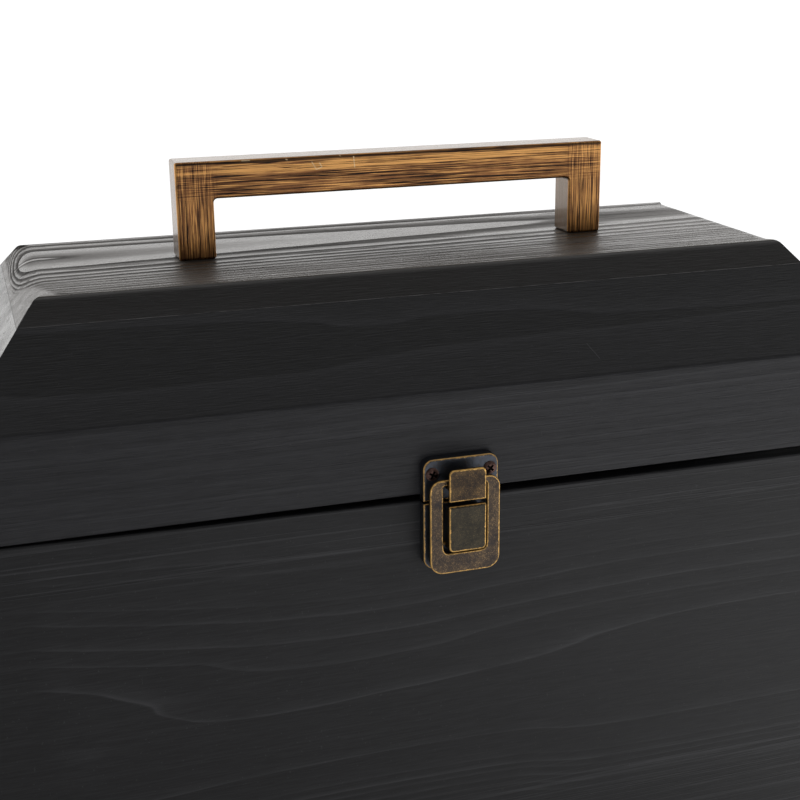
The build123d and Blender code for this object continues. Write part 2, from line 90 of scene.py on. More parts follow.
# ---- Node patterns --------------------------------------------------------------------
class Sums:
    """A node tree. Each call adds a node and gives back its output."""

    def __init__(self, tree: bpy.types.NodeTree) -> None:
        """Takes up the node tree of a material or a world."""
        self.tree = tree

    def feed(self, socket: Socket, value: Value | Colour) -> None:
        """Links an output to a socket, or sets the socket's own value.

        Args:
            socket: the socket that is fed.
            value: an output, a number or a colour.
        """
        if isinstance(value, Socket):
            self.tree.links.new(value, socket)
        elif socket.type == "RGBA":
            socket.default_value = (*value, 1.0)
        else:
            socket.default_value = value

    def node(self, kind: str, inputs: dict[int | str, Value | Colour], **settings: object) -> bpy.types.Node:
        """Adds a node.

        Args:
            kind: Blender's name for the node.
            inputs: a value or an output for each socket, by place or name.
            settings: the node's own settings.

        Returns:
            The node.
        """
        made = self.tree.nodes.new(kind)
        for name, value in settings.items():
            setattr(made, name, value)
        for key, value in inputs.items():
            self.feed(made.inputs[key], value)
        return made

    def math(self, operation: str, *values: Value) -> Socket:
        """One sum on numbers."""
        return self.node("ShaderNodeMath", dict(enumerate(values)), operation=operation).outputs[0]

    def add(self, *values: Value) -> Socket:
        """All the values added up."""
        return reduce(partial(self.math, "ADD"), values)

    def times(self, *values: Value) -> Socket:
        """All the values multiplied."""
        return reduce(partial(self.math, "MULTIPLY"), values)

    def minus(self, value: Value, other: Value) -> Socket:
        """One value less another."""
        return self.math("SUBTRACT", value, other)

    def unsigned(self, value: Value) -> Socket:
        """A value without its sign."""
        return self.math("ABSOLUTE", value)

    def most(self, value: Value, other: Value) -> Socket:
        """The larger of two values."""
        return self.math("MAXIMUM", value, other)

    def smooth(self, value: Value, low: float, high: float, start: float = 0.0, end: float = 1.0) -> Socket:
        """A soft step from start to end while the value goes from low to high."""
        inputs = {0: value, 1: low, 2: high, 3: start, 4: end}
        return self.node("ShaderNodeMapRange", inputs, interpolation_type="SMOOTHSTEP").outputs[0]

    def stretch(self, value: Value, low: float, high: float, start: float = 0.0, end: float = 1.0) -> Socket:
        """A straight step from start to end while the value goes from low to high."""
        return self.node("ShaderNodeMapRange", {0: value, 1: low, 2: high, 3: start, 4: end}).outputs[0]

    def spread(self, noise: Socket, start: float = 0.0, end: float = 1.0) -> Socket:
        """Noise drawn out to run from start to end."""
        return self.stretch(noise, *NOISE_SPAN, start, end)

    def between(self, value: Value, low: float, high: float, soft: float) -> Socket:
        """1 where the value lies from low to high, 0 elsewhere, with soft ends."""
        rise = self.smooth(value, low - soft, low + soft)
        return self.times(rise, self.smooth(value, high + soft, high - soft))

    def curve(self, value: Value, points: Points) -> Socket:
        """A smooth curve through points, read off at a value.

        Args:
            value: where it is read.
            points: places on the curve, from the lowest value to the highest.

        Returns:
            The curve's height there.
        """
        (low, foot), (high, top) = ([limit(axis) for axis in zip(*points)] for limit in (min, max))
        made = self.node("ShaderNodeFloatCurve", {"Value": self.stretch(value, low, high)})
        line = made.mapping.curves[0]
        places = [((place - low) / (high - low), (height - foot) / (top - foot)) for place, height in points]
        line.points[0].location = places[0]
        line.points[1].location = places[-1]
        for place in places[1:-1]:
            line.points.new(*place)
        made.mapping.update()
        return self.stretch(made.outputs[0], 0.0, 1.0, foot, top)

    def profile(self, value: Value, stops: Points) -> Socket:
        """A line that runs straight from each stop to the next, with heights from 0 to 1.

        Args:
            value: where it is read.
            stops: its corners, from the lowest value to the highest.

        Returns:
            The line's height there.
        """
        low, high = stops[0][0], stops[-1][0]
        made = self.node("ShaderNodeValToRGB", {0: self.stretch(value, low, high)})
        ramp = made.color_ramp
        for place, height in stops[1:-1]:
            ramp.elements.new((place - low) / (high - low)).color = (height, height, height, 1.0)
        for element, (_, height) in ((ramp.elements[0], stops[0]), (ramp.elements[-1], stops[-1])):
            element.color = (height, height, height, 1.0)
        return made.outputs[0]

    def join(self, x: Value, y: Value, z: Value) -> Socket:
        """Three numbers as one place."""
        return self.node("ShaderNodeCombineXYZ", {0: x, 1: y, 2: z}).outputs[0]

    def split(self, place: Socket) -> tuple[Socket, ...]:
        """A place as its three numbers."""
        return tuple(self.node("ShaderNodeSeparateXYZ", {0: place}).outputs)

    def reach(self, place: Socket) -> Socket:
        """How far a place lies from the origin."""
        return self.node("ShaderNodeVectorMath", {0: place}, operation="LENGTH").outputs["Value"]

    def blend(self, share: Value, one: Value, other: Value) -> Socket:
        """One number turning into another as share goes from 0 to 1."""
        return self.node("ShaderNodeMix", {"Factor": share, 2: one, 3: other}).outputs[0]

    def mix(self, share: Value, one: Tint, other: Tint) -> Socket:
        """One colour turning into another as share goes from 0 to 1."""
        inputs = {"Factor": share, 6: one, 7: other}
        return self.node("ShaderNodeMix", inputs, data_type="RGBA", clamp_factor=True).outputs[2]


class Pattern(Sums):
    """A material and its node tree.

    Lengths are in millimetres from the middle of the box's underside, as on the workshop drawing.
    """

    def __init__(self, name: str) -> None:
        """Starts a material.

        Args:
            name: the material's name.
        """
        self.material = bpy.data.materials.new(name)
        self.material.use_nodes = True
        super().__init__(self.material.node_tree)
        self.shader = self.tree.nodes["Principled BSDF"]
        place = self.node("ShaderNodeTexCoord", {}).outputs["Object"]
        scaled = self.node("ShaderNodeVectorMath", {0: place, "Scale": 1 / MM}, operation="SCALE")
        self.place = scaled.outputs[0]
        self.x, self.y, self.z = self.split(self.place)

    def noise(self, place: Socket, size: float, detail: float = 3.0, roughness: float = 0.55) -> Socket:
        """Cloudy noise, about 0.5 on average, whose blotches are size mm across."""
        inputs = {"Vector": place, "Scale": 1 / size, "Detail": detail, "Roughness": roughness}
        return self.node("ShaderNodeTexNoise", inputs).outputs[0]

    def streaks(self, way: Way, width: float, length: float, detail: float = 3.0) -> Socket:
        """Noise drawn out along the grain, in streaks of that width and length."""
        along, across, deep = way
        return self.noise(self.join(self.times(along, width / length), across, deep), width, detail)

    def hairs(self, way: Way, width: float, length: float, fine: float) -> Socket:
        """1 on hairlines that lie width apart along the grain, 0 between. Fine is about 0.02 to 0.05."""
        field = self.streaks(way, width, length, 2.0)
        return self.smooth(self.unsigned(self.add(field, -NOISE_MIDDLE)), fine, 0.0)

    def stroke(self, start: Pair, end: Pair, width: float) -> Socket:
        """A short scratch on a face that looks to the front.

        Args:
            start: one end, as a place along the front and a height.
            end: its other end.
            width: how wide it is.

        Returns:
            1 on the scratch, 0 off it.
        """
        run = Vector(end) - Vector(start)
        shift = run.x * start[1] - run.y * start[0]
        across = self.add(self.times(self.x, run.y), self.times(self.z, -run.x), shift)
        off = self.unsigned(self.times(across, 1 / run.length))
        along = self.add(self.times(self.x, run.x), self.times(self.z, run.y), -run.dot(Vector(start)))
        within = self.between(self.times(along, 1 / run.length), 0.0, run.length, width)
        return self.times(within, self.smooth(off, width, width / 3))

    def bump(self, height: Socket) -> Socket:
        """The surface's normal over relief given in mm."""
        return self.node("ShaderNodeBump", {"Strength": 1.0, "Distance": MM, "Height": height}).outputs[0]

    def finish(self, **sockets: Value | Colour) -> bpy.types.Material:
        """Sets the shader's sockets.

        Args:
            sockets: a value or an output for each, by names such as Base_Color.

        Returns:
            The material.
        """
        for name, value in sockets.items():
            self.feed(self.shader.inputs[name.replace("_", " ")], value)
        return self.material

    def metal(self, colour: Socket, roughness: Value, relief: Socket) -> bpy.types.Material:
        """Finishes the material as a metal, with relief given in mm."""
        normal = self.bump(relief)
        return self.finish(Base_Color=colour, Metallic=METALLIC, Roughness=roughness, Normal=normal)


# ---- Wood -----------------------------------------------------------------------------
class Grain(Enum):
    """The way a board's grain runs."""

    ALONG_THE_FRONT = "x"
    ALONG_THE_END = "y"


@dataclass(frozen=True)
class Face:
    """What a finish gives its shader.

    Attributes:
        colour: the base colour.
        roughness: the roughness.
        height: the relief in mm.
    """

    colour: Socket
    roughness: Value
    height: Value


@dataclass(frozen=True)
class StainedWood:
    """Softwood stained black, its hard rings left standing by brushing.

    Attributes:
        grain: the way the grain runs.
        seed: moves the figure, so that no two boards are alike.
        ring_width: from one ring to the next, in mm.
        ring_length: how far a ring runs before it changes.
        wander: how far the rings stray from a straight line.
        bend: length of the bends in which they stray.
        soft_share: how strong the rings' soft shading is.
        line_share: how strong the hairlines along them are.
        fibre: width and length of the fibres.
        pore: width and length of the finest pores.
        relief: height of the rings in mm.
        fibre_relief: height of the fibres between them.
        pore_relief: height of the finest pores.
        ring_share: how much of the shade follows the rings, the rest following the fibres.
        dust_size: from one speck of dust to the next, in mm.
        dust_share: how much a speck lightens the wood.
        stain: colour of the soft wood.
        pale: colour of the hard rings.
        dull: roughness of the soft wood.
        sleek: roughness of the hard rings.
        gloss: the stain's index of refraction.
        glint: colour of its reflections.
    """

    grain: Grain
    seed: float = 0.0
    ring_width: float = 3.0
    ring_length: float = 400.0
    wander: float = 24.0
    bend: float = 40.0
    soft_share: float = 0.7
    line_share: float = 0.5
    fibre: Pair = (0.45, 7.0)
    pore: Pair = (0.4, 5.0)
    relief: float = 0.1
    fibre_relief: float = 0.03
    pore_relief: float = 0.015
    ring_share: float = 0.6
    dust_size: float = 0.9
    dust_share: float = 0.4
    stain: Colour = shade(20, 20, 22)
    pale: Colour = shade(46, 46, 48)
    dull: float = 0.46
    sleek: float = 0.34
    gloss: float = 1.4
    glint: Colour = (1.0, 1.0, 1.0)

    def axes(self, p: Pattern) -> tuple[Socket, Socket]:
        """The distances along the grain and across it, level with the ground."""
        return (p.x, p.y) if self.grain is Grain.ALONG_THE_FRONT else (p.y, p.x)

    def rings(self, p: Pattern) -> Socket:
        """The growth rings, from 0 in the soft wood to 1 on a hard ring.

        Args:
            p: the pattern that asks.

        Returns:
            Their height.
        """
        along, side = self.axes(p)
        stray = p.noise(p.join(p.times(along, 0.2), p.z, self.seed), self.bend, 1.0)
        across = p.add(p.z, p.times(stray, self.wander), self.seed)
        rings = p.spread(p.streaks((along, across, side), self.ring_width, self.ring_length))
        lines = p.hairs((along, across, side), 1.4 * self.ring_width, 1.25 * self.ring_length, 0.03)
        return p.add(p.times(rings, self.soft_share), p.times(lines, self.line_share))

    def face(self, p: Pattern) -> Face:
        """The colour, roughness and relief of the wood.

        Args:
            p: the pattern that asks.

        Returns:
            All three.
        """
        along, side = self.axes(p)
        rings = self.rings(p)
        fibres = p.spread(p.streaks((along, p.z, side), *self.fibre, 4.0))
        pores = p.spread(p.streaks((along, p.z, side), *self.pore, 1.0))
        dust = p.smooth(p.noise(p.place, self.dust_size, 2.0), 0.66, 0.76)
        tone = p.add(p.times(rings, self.ring_share), p.times(fibres, 1 - self.ring_share))
        tone = p.add(tone, p.times(dust, self.dust_share))
        height = p.add(p.times(rings, self.relief), p.times(fibres, self.fibre_relief))
        height = p.add(height, p.times(pores, self.pore_relief))
        roughness = p.stretch(tone, 0.0, 1.0, self.dull, self.sleek)
        return Face(p.mix(tone, self.stain, self.pale), roughness, height)

    def material(self, name: str) -> bpy.types.Material:
        """The finish as a material.

        Args:
            name: the material's name.

        Returns:
            The material.
        """
        p = Pattern(name)
        face = self.face(p)
        p.finish(Base_Color=face.colour, Roughness=face.roughness, Normal=p.bump(face.height))
        return p.finish(IOR=self.gloss, Specular_Tint=self.glint)


@dataclass(frozen=True)
class FrontBoardWood(StainedWood):
    """The body's front board: rings that swing down at the left round a wide plain heart.

    Attributes:
        low_swing: how far the rings near the heart are lifted along the front, in mm.
        high_swing: the same for the rings above them.
        foot_swing: the same for the rings below the heart.
        low_reach: how much of the first swing each height takes.
        high_reach: how much of the second.
        lower: the hard rings under the heart, from below, each a height and a strength.
        upper: those above it.
        lower_end: the height where the last of the lower rings has faded.
        upper_end: the same for the upper rings.
        onset: the height in which a hard ring begins, in mm.
        fade: how far above its start it has lost more than half its strength.
        jitter: how far the rings stray by chance.
        worn_end: places at the left between which the rings grow to full strength.
        rim: heights between which fine rings show under the rim.
        low_height: heights between which they grow below.
        low_right: places along the front between which those grow.
        flame_width: places along the front between which a torn light patch lies.
        flame_height: heights between which it lies.
        sheen_width: places between which a painted sheen grows lighter towards the right.
        sheen_height: heights between which it grows.
    """

    low_swing: Points = (
        (-120, 0), (-108, -3.5), (-98, -6.5), (-88, -9.3), (-76, -11.8), (-57, -12.7),
        (-26, -11.3), (3, -9.6), (24, -8), (44, -5.8), (64, -2.8), (90, 0),
    )
    high_swing: Points = (
        (-126, 6.5), (-107, 3.3), (-82, -0.2), (-51, -3.3), (-26, -4.1), (14, -1.8), (60, 0), (115, 0),
    )
    foot_swing: Points = ((-126, 1), (-94, 2.7), (-46, 5.6), (-21, 5.8), (14, 4.8), (51, 0.7), (119, 0))
    low_reach: Points = ((60, 0), (69, 0.1), (80, 0.75), (88, 1), (97, 0.53), (107, 0))
    high_reach: Points = ((88, 0), (97, 0.47), (107, 1), (122, 1), (140, 0))
    lower: Points = (
        (41.0, 0.5), (43.6, 0.6), (46.3, 0.7), (49.2, 0.5), (51.4, 0.8), (54.4, 0.4), (63.6, 0.7),
    )
    upper: Points = (
        (100.0, 1.0), (107.5, 0.6), (112.8, 0.8), (120.3, 0.8), (125.0, 0.4), (134.5, 0.4), (138.0, 0.6),
    )
    lower_end: float = 68.0
    upper_end: float = 144.0
    onset: float = 0.25
    fade: float = 0.7
    jitter: float = 1.6
    worn_end: Pair = (-128.0, -118.0)
    rim: Pair = (133.0, 149.0)
    low_height: Pair = (56.0, 48.0)
    low_right: Pair = (-60.0, 30.0)
    flame_width: Pair = (-117.0, -110.0)
    flame_height: Pair = (82.0, 90.0)
    sheen_width: Pair = (30.0, 110.0)
    sheen_height: Pair = (143.0, 149.0)

    def lines(self, p: Pattern, height: Socket, rings: Points, end: float) -> Socket:
        """Hard rings that are sharp below and fade above.

        Args:
            p: the pattern that asks.
            height: where the ring field is read.
            rings: the rings, each a height and a strength.
            end: where the uppermost has faded.

        Returns:
            Their height, from 0 to 1.
        """
        stops = [(rings[0][0] - 12.0, 0.05)]
        for (place, strength), (following, _) in zip(rings, (*rings[1:], (2 * end - rings[-1][0], 0.0))):
            stops += [(place - self.onset, 0.03), (place, strength), (place + self.fade, strength * 0.42)]
            stops += [((place + following) / 2, 0.08)]
        return p.profile(height, tuple(stops))

    def rings(self, p: Pattern) -> Socket:
        """The growth rings, with loose bundles of fine ones under the rim and at the lower right.

        Args:
            p: the pattern that asks.

        Returns:
            Their height, from 0 in the soft wood to 1 on a hard ring.
        """
        stray = p.noise(p.join(p.times(p.x, 0.15), p.z, 3.0), 12.0)
        low = p.times(p.curve(p.z, self.low_reach), p.curve(p.x, self.low_swing))
        high = p.times(p.curve(p.z, self.high_reach), p.curve(p.x, self.high_swing))
        foot = p.times(p.smooth(p.z, 80.0, self.lower_end), p.curve(p.x, self.foot_swing))
        height = p.minus(p.z, p.add(low, high, foot))
        height = p.add(height, p.times(stray, self.jitter), -self.jitter / 2)
        lower = self.lines(p, height, self.lower, self.lower_end)
        lines = p.most(lower, self.lines(p, height, self.upper, self.upper_end))
        worn = p.stretch(p.noise(p.join(p.times(p.x, 0.3), p.z, 9.0), 9.0), 0.3, 0.6, 0.4, 1.0)
        worn = p.times(worn, p.smooth(p.x, *self.worn_end, 0.3, 1.0))
        fine = p.hairs((p.x, p.z, p.y), 2.4, 320.0, 0.035)
        under_rim = p.between(p.z, *self.rim, 3.0)
        low_right = p.times(p.smooth(p.z, *self.low_height), p.smooth(p.x, *self.low_right))
        shreds = p.stretch(p.streaks((p.add(p.x, p.times(p.z, -0.5)), p.z, 21.0), 2.5, 18.0), 0.42, 0.62)
        patch = p.times(p.between(p.x, *self.flame_width, 8.0), p.between(p.z, *self.flame_height, 10.0))
        flame = p.times(patch, shreds, 0.45)
        # A painted sheen: lighter colour, and sleeker wood, towards the right under the rim.
        sheen = p.times(p.smooth(p.x, *self.sheen_width), p.smooth(p.z, *self.sheen_height), 0.3)
        bundles = p.times(fine, p.most(0.14, p.most(under_rim, low_right)), 0.6)
        return p.add(p.times(lines, worn), bundles, flame, sheen)


@dataclass(frozen=True)
class FrontSlopeWood(StainedWood):
    """The lid's front slope: a dark tongue that narrows to the right, and the joint under the top board.

    Attributes:
        upper: the tongue's upper edge along the front, as heights in mm.
        lower: its lower edge.
        rim: the shade from inside the tongue to outside it, by distance from its edge.
        jitter: how far the tongue's edge strays by chance.
        joint_height: where the top board's joint shows as a fine light line, a painted highlight.
        scratch: both ends of a light scratch.
        scratch_width: how wide it is.
    """

    upper: Points = (
        (-126, 203.2), (-91, 202.5), (-66, 202.0), (-41, 200.1), (-21, 197.7),
        (-6, 198.9), (19, 198.9), (57, 195.6), (109, 195.0),
    )
    lower: Points = (
        (-126, 189.0), (-104, 188.1), (-54, 188.1), (-21, 190.2), (19, 191.8), (59, 192.4), (109, 193.6),
    )
    rim: Points = (
        (-14.0, 0.0), (-6.0, 0.0), (-0.4, 0.02), (0.2, 0.8), (2.0, 0.5), (5.0, 0.42), (16.0, 0.42),
    )
    jitter: float = 1.6
    joint_height: float = 204.4
    scratch: Points = ((40.5, 188.8), (43.5, 184.6))
    scratch_width: float = 0.3

    def rings(self, p: Pattern) -> Socket:
        """The tongue, the joint's line and the scratch.

        Args:
            p: the pattern that asks.

        Returns:
            The wood's shade, from 0 inside the tongue to 1 along its edge.
        """
        over = p.minus(p.z, p.curve(p.x, self.upper))
        under = p.minus(p.curve(p.x, self.lower), p.z)
        stray = p.noise(p.join(p.times(p.x, 0.12), p.z, 5.0), 5.0)
        outside = p.add(p.most(over, under), p.times(stray, self.jitter), -self.jitter / 2)
        # The fine light line along the joint is a painted highlight.
        line = p.between(p.z, self.joint_height - 0.1, self.joint_height + 0.1, 0.12)
        line = p.times(line, p.stretch(p.noise(p.place, 4.0), 0.3, 0.55, 0.3, 2.2))
        marks = p.most(line, p.times(p.stroke(*self.scratch, self.scratch_width), 1.2))
        high = p.smooth(over, 1.0, 6.0, 1.0, 0.45)
        return p.most(p.times(p.profile(outside, self.rim), high), marks)


@dataclass(frozen=True)
class TopBoardWood(StainedWood):
    """The lid's top board: a tongue of rings that opens to the left and folds over the worn end.

    Attributes:
        edge: the finish of its slanted front and back edges.
        heart: the place across the top that the rings close round, at the middle of its length.
        tilt: how much the heart climbs towards the back along the front.
        taper: how fast the rings close towards the right, in mm.
        ring: the area between one ring and the next, in square mm.
        first: the area inside the innermost ring.
        saw: the shade from one ring to the next.
        surface: height of the top face.
        foot: height of the slopes' lower edge.
        slant: a slope's depth, height and length.
        half_depth: from the middle to the foot of a slope.
        eye: the middle of a light spot at the left, in the heart's tip.
        spot: the light added round the eye, by distance.
        halo: the dark ring round that.
        jitter: how far the rings stray by chance.
        end_height: heights between which the ends turn to end grain.
        end_corner: the same for the distance out from the middle, where the top begins to fold over.
        end_start: distances out before which there is none.
    """

    edge: StainedWood = FrontSlopeWood(Grain.ALONG_THE_FRONT)
    heart: float = 15.6
    tilt: float = 0.032
    taper: float = 1.1
    ring: float = 252.0
    first: float = 65.0
    saw: Points = ((0.0, 0.5), (0.05, 0.0), (0.3, 0.25), (0.62, 0.85), (0.9, 1.0), (1.0, 0.6))
    surface: float = 211.3
    foot: float = 180.6
    slant: tuple[float, float, float] = (25.6, 30.7, 39.97)
    half_depth: float = 65.5
    eye: Pair = (-112.0, 13.0)
    spot: Points = ((0.0, 0.55), (1.0, 0.4), (1.7, 0.0), (2.4, 0.0), (4.0, 0.0))
    halo: Points = ((1.0, 0.0), (1.8, 0.45), (3.0, 0.1), (4.5, 0.0))
    jitter: float = 4.0
    end_height: Pair = (206.8, 205.2)
    end_corner: Pair = (121.0, 124.5)
    end_start: Pair = (100.0, 112.0)

    def rings(self, p: Pattern) -> Socket:
        """The growth rings of the tongue, and the plain end grain.

        Args:
            p: the pattern that asks.

        Returns:
            The wood's shade, from 0 in the soft wood to 1 on a hard ring.
        """
        stray = p.noise(p.join(p.times(p.x, 0.1), p.y, p.z), 7.0)
        off = p.add(p.y, -self.heart, p.times(p.x, -self.tilt), p.times(stray, self.jitter), -self.jitter / 2)
        down = p.minus(self.surface, p.z)
        fold = p.times(down, p.add(p.times(down, 25.0), 35.0))
        area = p.add(p.times(off, off), p.times(p.x, self.taper), fold)
        count = p.math("MULTIPLY_ADD", area, 1 / self.ring, -self.first / self.ring)
        ringed = p.profile(p.math("FRACT", p.add(count, 4.0)), self.saw)
        fibres = p.stretch(p.streaks((p.x, p.z, p.y), 0.7, 60.0, 4.0), 0.36, 0.62, 0.15, 1.1)
        faint = p.add(p.smooth(count, 2.0, 5.5, 0.0, 0.5), p.smooth(p.x, 40.0, 75.0, 0.0, 0.15))
        dark = p.hairs((p.x, p.y, p.z), 3.0, 160.0, 0.02)
        tone = p.blend(faint, ringed, fibres)
        # Lighter towards the right: painted light in the colour, which also makes the wood sleeker there.
        tone = p.add(tone, p.smooth(p.x, -20.0, 110.0, 0.0, 0.3), p.times(dark, -0.65))
        heart = p.smooth(count, -0.9, -0.25, 0.35, 1.0)
        tone = p.blend(p.smooth(count, 0.02, -0.02), tone, heart)
        across, back = self.eye
        near = p.reach(p.join(p.times(p.add(p.x, -across), 0.2), p.add(p.y, -back), 0.0))
        tone = p.add(tone, p.profile(near, self.spot))
        tone = p.minus(tone, p.profile(near, self.halo))
        return p.blend(self.end_grain(p), tone, p.spread(p.noise(p.place, 5.0, 4.0), 0.75, 1.05))

    def end_grain(self, p: Pattern) -> Socket:
        """The smooth end grain that shows at both ends.

        Args:
            p: the pattern that asks.

        Returns:
            1 on end grain, 0 on the long grain.
        """
        out = p.unsigned(p.x)
        low = p.smooth(p.z, *self.end_height)
        corner = p.smooth(p.add(out, p.times(p.y, -0.35)), *self.end_corner)
        return p.times(p.most(low, corner), p.smooth(out, *self.end_start))

    def face(self, p: Pattern) -> Face:
        """The colour, roughness and relief of the top face, and of the slanted edges.

        Args:
            p: the pattern that asks.

        Returns:
            All three.
        """
        depth, height, length = self.slant
        inward = p.minus(self.half_depth, p.unsigned(p.y))
        inward = p.add(p.times(inward, height / length), p.times(p.add(p.z, -self.foot), -depth / length))
        edge = p.smooth(inward, 0.75, 0.3)
        top = super().face(p)
        other = self.edge.face(p)
        roughness = p.blend(edge, top.roughness, other.roughness)
        return Face(p.mix(edge, top.colour, other.colour), roughness, p.blend(edge, top.height, other.height))


@dataclass(frozen=True)
class EndSlopeWood(StainedWood):
    """A slope at the lid's end: close smooth wood, a dark joint under the top board and small pits.

    Attributes:
        joint_height: where the joint shows as a fine dark line.
    """

    joint_height: float = 204.4

    def rings(self, p: Pattern) -> Socket:
        """The clouds, the pits and the joint's line.

        Args:
            p: the pattern that asks.

        Returns:
            The wood's shade, from 0 in pits and along the joint to 1.
        """
        clouds = p.spread(p.noise(p.place, 9.0), 0.55, 1.0)
        pits = p.smooth(p.noise(p.place, 1.3, 1.0), 0.73, 0.68)
        line = p.between(p.z, self.joint_height - 0.15, self.joint_height + 0.15, 0.12)
        return p.times(clouds, pits, p.minus(1.0, line))


@dataclass(frozen=True)
class BottomWood:
    """The thin panel under the box, stained once and left dull.

    Attributes:
        dark: colour between the rings.
        light: colour of the rings.
        relief: height of the grain in mm.
    """

    dark: Colour = shade(46, 44, 43)
    light: Colour = shade(72, 68, 64)
    relief: float = 0.12

    def material(self, name: str) -> bpy.types.Material:
        """The finish as a material.

        Args:
            name: the material's name.

        Returns:
            The material.
        """
        p = Pattern(name)
        across = p.add(p.y, p.times(p.noise(p.place, 60.0, 1.0), 14.0))
        rings = p.streaks((p.x, across, p.z), 4.0, 260.0, 2.0)
        fibres = p.streaks((p.x, p.y, p.z), 0.5, 18.0, 4.0)
        tone = p.add(p.times(rings, 0.6), p.times(fibres, 0.4))
        colour = p.mix(p.smooth(tone, 0.35, 0.65), self.dark, self.light)
        normal = p.bump(p.times(tone, self.relief))
        return p.finish(Base_Color=colour, Roughness=p.spread(fibres, 0.6, 0.75), Normal=normal)


# ---- Metals ---------------------------------------------------------------------------
@dataclass(frozen=True)
class Brushing:
    """The brush marks on the handle.

    Attributes:
        strokes: fine streaks along the metal, about 0.5 on average.
        marks: 1 on the deepest hairlines, 0 between.
        tone: from 0 in the dark to above 1 where the front is rubbed through.
    """

    strokes: Socket
    marks: Socket
    tone: Socket


